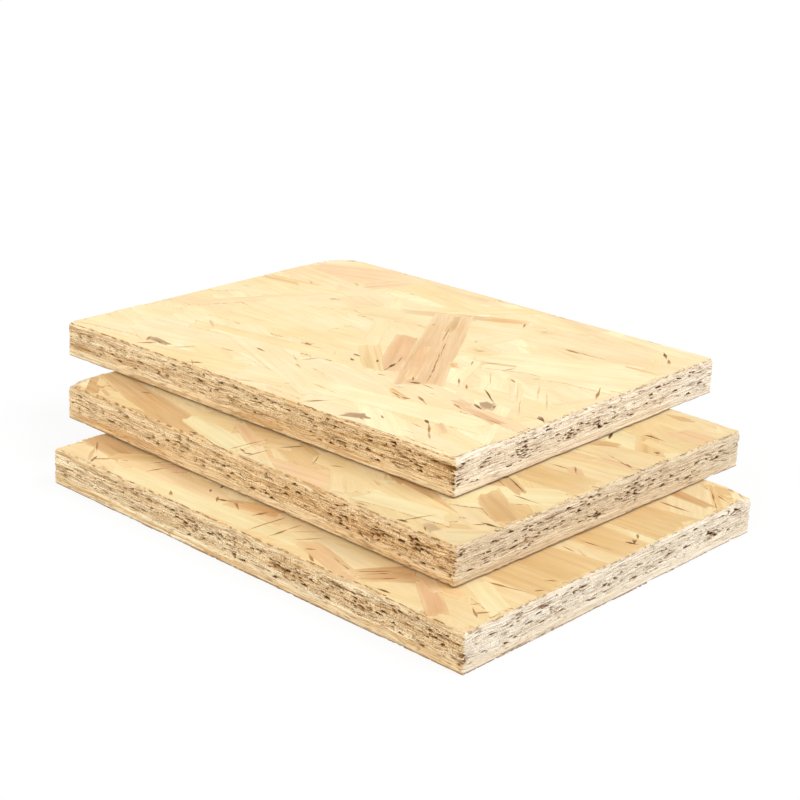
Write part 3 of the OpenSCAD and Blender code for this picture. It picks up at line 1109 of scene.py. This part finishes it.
def edge_material(fibre, panel):
    """The sawn edges: cut strands lying on one another, open voids between them, warm across
    the long edges and paler on the short ones. The long edges are streaky at their far ends and
    grow coarser towards the near one."""
    material, wires, shader = new_material(panel.node + "_sawn_edges")
    shader.inputs["Specular IOR Level"].default_value = 0.05
    spot = wires.node("TexCoord").outputs["Object"]
    apart = wires.node("SeparateXYZ", {0: spot})
    run = wires.maths("ADD", apart.outputs["X"], apart.outputs["Y"])
    sway = wires.noise(spot, 2.0, 55.0)
    height = wires.maths("ADD", apart.outputs["Z"], wires.times(sway, 0.003))
    place = wires.node("CombineXYZ", {"X": run, "Y": height}).outputs[0]
    coarse = wires.ramp(apart.outputs["X"], -0.14, 0.08)
    end_cut, level = wires.attribute("end_cut"), wires.attribute("height")
    core = wires.times(wires.ramp(level, 0.2, 0.38), wires.ramp(level, 0.96, 0.82))

    def layered(along, across, detail):
        return wires.noise(wires.stretched(place, along, across, 0), detail, noise_dimensions="2D")

    def graded(far, near):
        return wires.ramp(coarse, 0.0, 1.0, far, near)

    def cracks(along, across, width):
        off = wires.maths("ABSOLUTE", wires.maths("SUBTRACT", layered(along, across, 2.0), 0.5))
        return wires.ramp(off, width, 0.0)

    # Cut strands, each with its own tone, and the layers they lie in
    cells = {"Vector": wires.stretched(place, 38, 1250, 0), "Scale": 1.0}
    cell = wires.node("TexVoronoi", cells, voronoi_dimensions="2D")
    seam = wires.node("TexVoronoi", cells, voronoi_dimensions="2D", feature="DISTANCE_TO_EDGE")
    tone = wires.node("SeparateColor", {0: cell.outputs["Color"]}).outputs[0]
    bands = wires.ramp(layered(22, 950, 3.0), 0.36, 0.64)
    long_bands = wires.ramp(layered(8, 620, 3.0), 0.36, 0.62)
    fibres, specks = (wires.node("Group", {"Place": place, "Streak length": length,
                                           "Streak width": width}, node_tree=fibre)
                      for length, width in ((160.0, 1700.0), (520.0, 2400.0)))
    tint = wires.mixed(end_cut, (*panel.long_tint, 1), (*panel.short_tint, 1))
    light = wires.tinted(wires.mixed(end_cut, wood(255, 238, 200), wood(255, 246, 229)), tint)
    dark = wires.tinted(wires.mixed(end_cut, wood(216, 174, 118), wood(232, 214, 187)), tint)
    layering = wires.mixed(wires.times(core, 0.5), long_bands, bands)
    blend = wires.maths("ADD", wires.times(tone, 0.4), wires.times(layering, graded(0.66, 0.43)))
    blend = wires.maths("ADD", blend, wires.times(fibres.outputs["Streaks"], 0.35), clamp=True)
    duller = wires.times(graded(0.05, 0.17), wires.ramp(end_cut, 1.0, 0.0))
    duller = wires.times(core, duller)
    seam_row = wires.times(wires.ramp(level, 0.28, 0.18), wires.ramp(level, 0.05, 0.12))
    duller = wires.maths("ADD", duller, wires.times(seam_row, 0.22))
    duller = wires.maths("ADD", duller, wires.ramp(level, 0.86, 0.95, 0.0, 0.24))
    blend = wires.maths("SUBTRACT", blend, duller, clamp=True)
    colour = wires.mixed(blend, dark, light)

    # Open seams, cracks and pores, and the voids that the surface itself falls into
    loose = wires.noise(spot, 3.0, 130.0)
    gap = wires.times(wires.ramp(seam.outputs["Distance"], 0.13, 0.0), wires.ramp(loose, 0.4, 0.6))
    crack = wires.times(cracks(42, 620, 0.04), wires.ramp(loose, 0.62, 0.42))
    gap = wires.maths("MAXIMUM", gap, crack)
    drawn = wires.times(cracks(13, 760, 0.05), wires.ramp(layered(24, 260, 2.0), 0.42, 0.58))
    gap = wires.maths("MAXIMUM", gap, wires.times(drawn, graded(0.8, 0.0)))
    gap = wires.times(gap, wires.ramp(core, 0.0, 1.0, 0.6, 0.9))
    gap = wires.times(gap, wires.ramp(end_cut, 0.0, 1.0, 1.0, 0.75))
    colour = wires.mixed(gap, colour, wires.mixed(end_cut, wood(130, 82, 28), wood(136, 98, 54)))
    pit = wires.times(specks.outputs["Pores"], wires.ramp(core, 0.0, 1.0, 0.25, 0.8))
    colour = wires.mixed(pit, colour, WOODS["brown"])
    grit = wires.times(wires.ramp(layered(1100, 1700, 2.0), 0.48, 0.66), core)
    grit = wires.times(grit, wires.mixed(end_cut, graded(0.36, 0.62), (0.32, 0.32, 0.32, 1)))
    colour = wires.mixed(grit, colour, wires.mixed(end_cut, wood(146, 100, 46), wood(140, 106, 66)))
    # Painted shade: the voids are coloured darker the deeper they fall, on top of the real shadow in them
    hollow = wires.times(wires.ramp(wires.attribute("hollow"), 0.12, 0.9), graded(0.6, 0.92))
    colour = wires.mixed(hollow, colour, wood(120, 72, 12))
    # Painted contact shadow: the lowest rows of the edge darken over what the panel stands on
    colour = wires.mixed(wires.ramp(level, 0.08, 0.036, 0.0, 0.7), colour, CONTACT_SHADOW)
    face = wires.mixed(fibres.outputs["Streaks"], WOODS["honey"], WOODS["cream"])
    colour = wires.mixed(wires.attribute("worn"), colour, face)
    wires.join(colour, shader.inputs["Base Color"])
    rough = wires.maths("ADD", specks.outputs["Streaks"], wires.times(gap, -1.5))
    wires.bump(shader, rough, 0.4, 0.0003)
    return material


# The stage

def white_floor():
    """A white floor that fades out in the camera's view and keeps a soft shadow."""
    bm = bmesh.new()
    bmesh.ops.create_grid(bm, x_segments=1, y_segments=1, size=FLOOR_HALF)
    mesh = bpy.data.meshes.new("floor")
    bm.to_mesh(mesh)
    bm.free()
    floor = bpy.data.objects.new("floor", mesh)
    bpy.context.scene.collection.objects.link(floor)
    material = bpy.data.materials.new("floor_white")
    material.use_nodes = True
    wires, nodes = Wiring(material.node_tree), material.node_tree.nodes
    nodes.remove(nodes["Principled BSDF"])
    matt = wires.node("BsdfDiffuse", {"Color": (0.94, 0.94, 0.94, 1)})
    white = wires.node("Emission", {"Color": (1, 1, 1, 1), "Strength": 1.0})
    share = wires.times(wires.seen(), FLOOR_GLOW)
    mix = wires.node("MixShader", {0: share, 1: matt.outputs[0], 2: white.outputs[0]})
    wires.join(mix.outputs[0], nodes["Material Output"].inputs["Surface"])
    mesh.materials.append(material)


def lamps():
    """Even white surroundings, and two broad soft lamps."""
    world = bpy.data.worlds.new("surroundings")
    bpy.context.scene.world = world
    world.use_nodes = True
    wires, sky = Wiring(world.node_tree), world.node_tree.nodes["Background"]
    strength = wires.node("MapRange", {"Value": wires.seen(), "To Min": SURROUNDINGS, "To Max": 1.0})
    wires.join(strength.outputs[0], sky.inputs["Strength"])
    sky.inputs["Color"].default_value = (1, 1, 1, 1)
    for name, azimuth, elevation, power, spread in LAMPS:
        lamp = bpy.data.lights.new(name, "SUN")
        lamp.energy = power
        lamp.angle = math.radians(spread)
        obj = bpy.data.objects.new(name, lamp)
        obj.rotation_euler = (math.radians(90 - elevation), 0, math.radians(azimuth))
        bpy.context.scene.collection.objects.link(obj)


def view_camera():
    """The camera that sees the stack as it was photographed."""
    data = bpy.data.cameras.new("view")
    data.lens = LENS
    data.clip_end = 20
    camera = bpy.data.objects.new("view", data)
    turn = (Matrix.Rotation(math.radians(VIEW_AZIMUTH), 4, "Z")
            @ Matrix.Rotation(math.radians(90 - VIEW_ELEVATION), 4, "X")
            @ Matrix.Rotation(math.radians(VIEW_ROLL), 4, "Z"))
    camera.matrix_world = Matrix.Translation(CAMERA_PLACE) @ turn
    bpy.context.scene.collection.objects.link(camera)
    bpy.context.scene.camera = camera


def place_piece(name, mesh, board, panel, material):
    """Sets a mesh down where its panel lies, and makes it ride and stand for the solid."""
    mesh.name = name
    mesh.transform(board.place)
    mesh.materials.append(material)
    piece = bpy.data.objects.new(name, mesh)
    bpy.context.scene.collection.objects.link(piece)
    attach(piece, "root")
    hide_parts(panel.node)


bpy.context.scene.view_settings.view_transform = "Standard"
view_camera()
white_floor()
lamps()
fibre = fibre_group()
pressed = strand_material(fibre)
for panel in PANELS:
    board = Board(panel.node)
    body = sawn_body(board, panel.seed)
    place_piece(f"{panel.node}_body", body, board, panel, edge_material(fibre, panel))
    for upper, side in ((1, "upper"), (0, "lower")):
        meshes = face_strands(board, panel, upper)
        half = len(meshes) // 2
        for name, share in (("first", meshes[:half]), ("last", meshes[half:])):
            name = f"{panel.node}_{side}_{name}_strands"
            place_piece(name, joined(share, name), board, panel, pressed)
